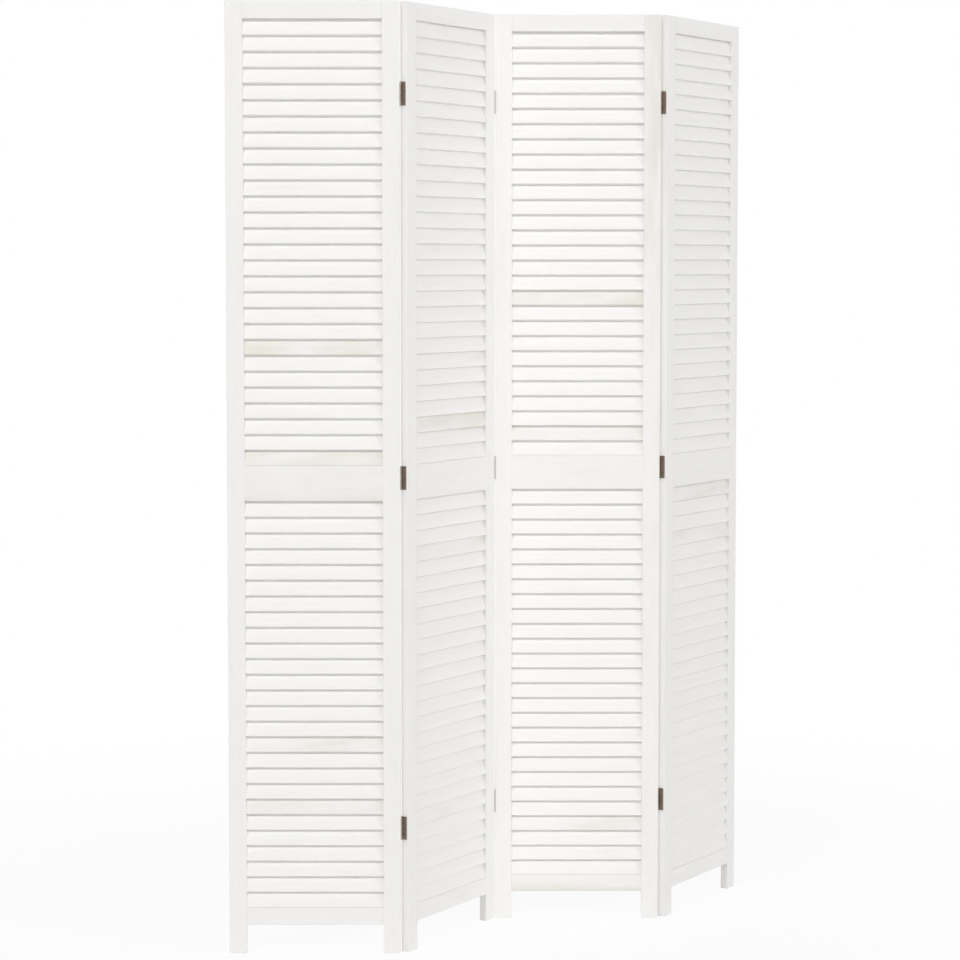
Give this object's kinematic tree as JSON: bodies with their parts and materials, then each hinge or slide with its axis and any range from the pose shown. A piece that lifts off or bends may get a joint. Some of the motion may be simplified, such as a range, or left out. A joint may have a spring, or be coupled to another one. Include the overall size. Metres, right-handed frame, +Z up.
{
  "type": "folding screen",
  "caption": "Free-standing louvred folding screen of white-washed wood, slatted panels folding in a zigzag on bronze butt hinges, used as a room divider",
  "frame": {"origin": "floor level, middle of the footprint's bounding box with the screen standing at its pictured folds", "axes": "+Z up, front towards -Y, panels 1 and 3 parallel to X with panel 1 at the left end"},
  "size_m": [0.9566, 0.5528, 1.7],
  "materials": {
    "white_washed_wood": "matt white wash over light wood, faint beige grain showing",
    "dowel_wood": "bare beech",
    "hinge_bronze": "antique bronze plating, satin",
    "screw_bronze": "antique bronze plating, satin, worn bright at the recess"
  },
  "bodies": {
    "panel_1": {"panel_1_left_stile": "white_washed_wood", "panel_1_right_stile": "white_washed_wood", "panel_1_top_rail": "white_washed_wood", "panel_1_middle_rail": "white_washed_wood", "panel_1_bottom_rail": "white_washed_wood", "panel_1_upper_slats": "white_washed_wood", "panel_1_lower_slats": "white_washed_wood", "panel_1_dowels": "dowel_wood", "fold_1_2_top_left_leaf": "hinge_bronze", "fold_1_2_middle_left_leaf": "hinge_bronze", "fold_1_2_bottom_left_leaf": "hinge_bronze", "fold_1_2_left_screws": "screw_bronze", "fold_1_2_pins": "hinge_bronze"},
    "panel_2": {"panel_2_left_stile": "white_washed_wood", "panel_2_right_stile": "white_washed_wood", "panel_2_top_rail": "white_washed_wood", "panel_2_middle_rail": "white_washed_wood", "panel_2_bottom_rail": "white_washed_wood", "panel_2_upper_slats": "white_washed_wood", "panel_2_lower_slats": "white_washed_wood", "panel_2_dowels": "dowel_wood", "fold_1_2_top_right_leaf": "hinge_bronze", "fold_1_2_middle_right_leaf": "hinge_bronze", "fold_1_2_bottom_right_leaf": "hinge_bronze", "fold_1_2_right_screws": "screw_bronze", "fold_2_3_top_left_leaf": "hinge_bronze", "fold_2_3_middle_left_leaf": "hinge_bronze", "fold_2_3_bottom_left_leaf": "hinge_bronze", "fold_2_3_left_screws": "screw_bronze", "fold_2_3_pins": "hinge_bronze"},
    "panel_3": {"panel_3_left_stile": "white_washed_wood", "panel_3_right_stile": "white_washed_wood", "panel_3_top_rail": "white_washed_wood", "panel_3_middle_rail": "white_washed_wood", "panel_3_bottom_rail": "white_washed_wood", "panel_3_upper_slats": "white_washed_wood", "panel_3_lower_slats": "white_washed_wood", "panel_3_dowels": "dowel_wood", "fold_2_3_top_right_leaf": "hinge_bronze", "fold_2_3_middle_right_leaf": "hinge_bronze", "fold_2_3_bottom_right_leaf": "hinge_bronze", "fold_2_3_right_screws": "screw_bronze", "fold_3_4_top_left_leaf": "hinge_bronze", "fold_3_4_middle_left_leaf": "hinge_bronze", "fold_3_4_bottom_left_leaf": "hinge_bronze", "fold_3_4_left_screws": "screw_bronze", "fold_3_4_pins": "hinge_bronze"},
    "panel_4": {"panel_4_left_stile": "white_washed_wood", "panel_4_right_stile": "white_washed_wood", "panel_4_top_rail": "white_washed_wood", "panel_4_middle_rail": "white_washed_wood", "panel_4_bottom_rail": "white_washed_wood", "panel_4_upper_slats": "white_washed_wood", "panel_4_lower_slats": "white_washed_wood", "panel_4_dowels": "dowel_wood", "fold_3_4_top_right_leaf": "hinge_bronze", "fold_3_4_middle_right_leaf": "hinge_bronze", "fold_3_4_bottom_right_leaf": "hinge_bronze", "fold_3_4_right_screws": "screw_bronze"}
  },
  "joints": [
    {"name": "fold_1_2", "type": "hinge", "parent": "panel_1", "child": "panel_2", "pos_m": [-0.16986, -0.26196, 0.85], "axis": [0, 0, 1], "range_deg": [-59.4, 120.6]},
    {"name": "fold_2_3", "type": "hinge", "parent": "panel_2", "child": "panel_3", "pos_m": [0.00007, -0.00369, 0.85], "axis": [0, 0, -1], "range_deg": [-59.4, 120.6]},
    {"name": "fold_3_4", "type": "hinge", "parent": "panel_3", "child": "panel_4", "pos_m": [0.30887, 0.01111, 0.85], "axis": [0, 0, 1], "range_deg": [-59.4, 120.6]}
  ]
}
